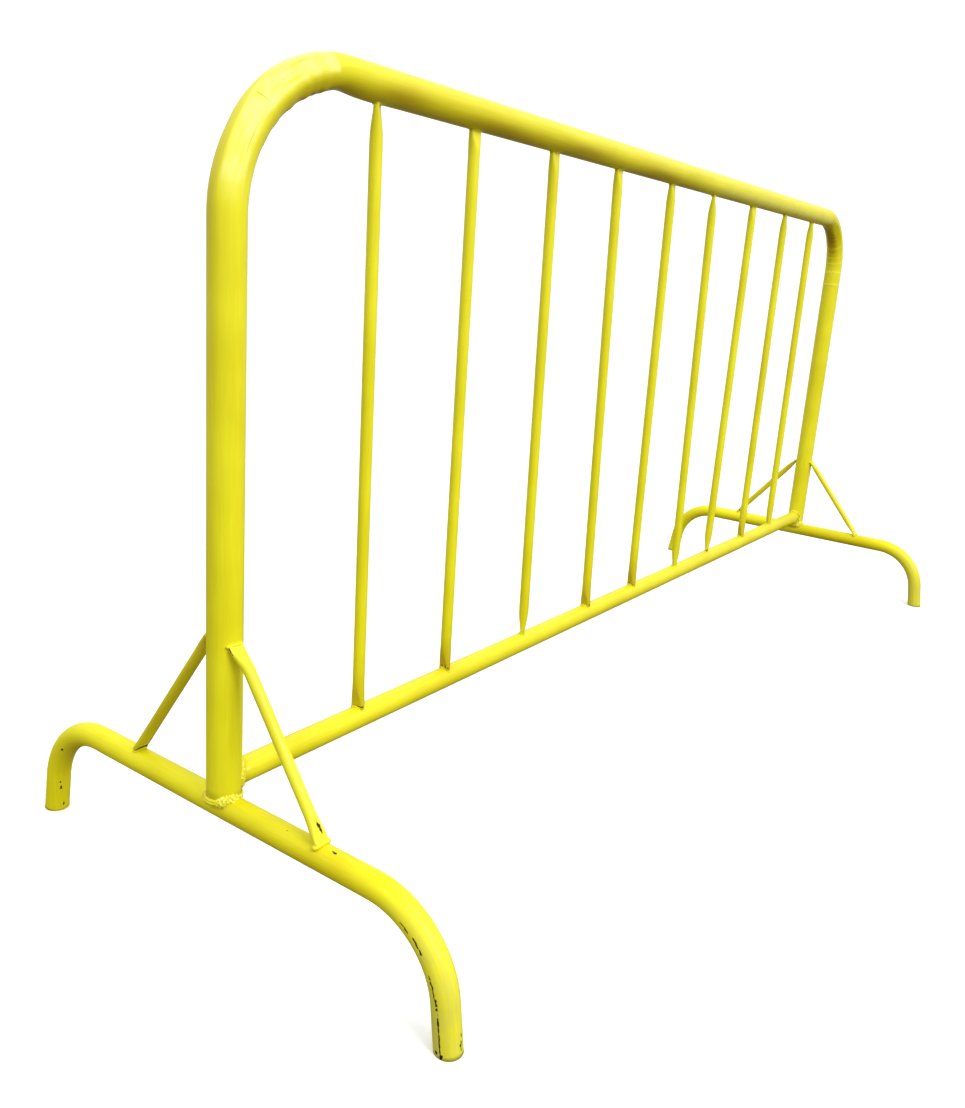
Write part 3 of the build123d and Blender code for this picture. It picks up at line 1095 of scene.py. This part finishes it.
# the floor takes shadows but throws no light back up, so the undersides stay as dim as outdoors
floor.visible_diffuse = False
floor.visible_glossy = False
floor.visible_shadow = False
floor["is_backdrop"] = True

sky_strength = 1.23
sky = bpy.data.worlds.new("soft_sky")
bpy.context.scene.world = sky
sky.use_nodes = True
sky.node_tree.nodes.clear()
direction = add_node(sky.node_tree, "TexCoord").outputs["Generated"]
upward_part = add_node(sky.node_tree, "SeparateXYZ", ("Vector", direction)).outputs["Z"]
# (sine of the height above the horizon, colour): the ground, pale where it is far, a street, the sky
sky_bands = [
    (-0.30, (0.14, 0.11, 0.10)),
    (-0.06, (0.61, 0.58, 0.51)),
    (0.02, (0.44, 0.44, 0.44)),
    (0.12, (0.44, 0.44, 0.44)),
    (0.42, (0.96, 0.98, 1.0)),
]
height_share = add_node(sky.node_tree, "MapRange", ("Value", upward_part), ("From Min", -1), ("From Max", 1))
bands = add_node(sky.node_tree, "ValToRGB", ("Fac", height_share.outputs[0]))
while len(bands.color_ramp.elements) < len(sky_bands):
    bands.color_ramp.elements.new(1.0)
for element, (sine, colour) in zip(bands.color_ramp.elements, sky_bands):
    element.position = (sine + 1) / 2
    element.color = colour + (1.0,)
# the backdrop itself is white
seen = add_node(sky.node_tree, "LightPath").outputs["Is Camera Ray"]
backdrop = add_node(
    sky.node_tree,
    "Mix",
    (0, seen),
    (6, bands.outputs["Color"]),
    (7, (1.0, 1.0, 1.0, 1.0)),
    data_type="RGBA",
)
sky_light = add_node(sky.node_tree, "Background", ("Color", backdrop.outputs[2]), ("Strength", sky_strength))
add_node(sky.node_tree, "OutputWorld", ("Surface", sky_light.outputs[0]))

lamp = bpy.data.lights.new("soft_light", "AREA")
lamp.shape = "DISK"
lamp.size = 3.0
lamp.energy = 200
lamp_place = Matrix.Translation((-1.3, -4.4, 4.1))
lamp_object = bpy.data.objects.new("soft_light", lamp)
bpy.context.scene.collection.objects.link(lamp_object)
to_barrier = -lamp_place.to_translation()
lamp_object.matrix_world = lamp_place @ to_barrier.to_track_quat("-Z", "Y").to_matrix().to_4x4()

eye = (-1.7607, -0.8580, 0.7933)
yaw, pitch, roll = 0.603584, 0.247709, -0.073564
focal_in_image_heights = 980.17 / 1108
forward = np.array([cos(yaw) * cos(pitch), sin(yaw) * cos(pitch), -sin(pitch)])
level = np.array([sin(yaw), -cos(yaw), 0.0])
below = np.cross(forward, level)
image_right = cos(roll) * level + sin(roll) * below
image_down = cos(roll) * below - sin(roll) * level
view = bpy.data.cameras.new("camera")
film_width = 36
view.sensor_width = film_width
view.lens = film_width * focal_in_image_heights
view.shift_x = -0.0059
view.shift_y = -0.0257
view.clip_start = 0.01
view.clip_end = 2000
camera = bpy.data.objects.new("camera", view)
turned = Matrix(np.stack([image_right, -image_down, -forward], axis=1).tolist()).to_4x4()
camera.matrix_world = Matrix.Translation(eye) @ turned
bpy.context.scene.collection.objects.link(camera)
bpy.context.scene.camera = camera
bpy.context.scene.view_settings.view_transform = "Standard"

low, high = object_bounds()
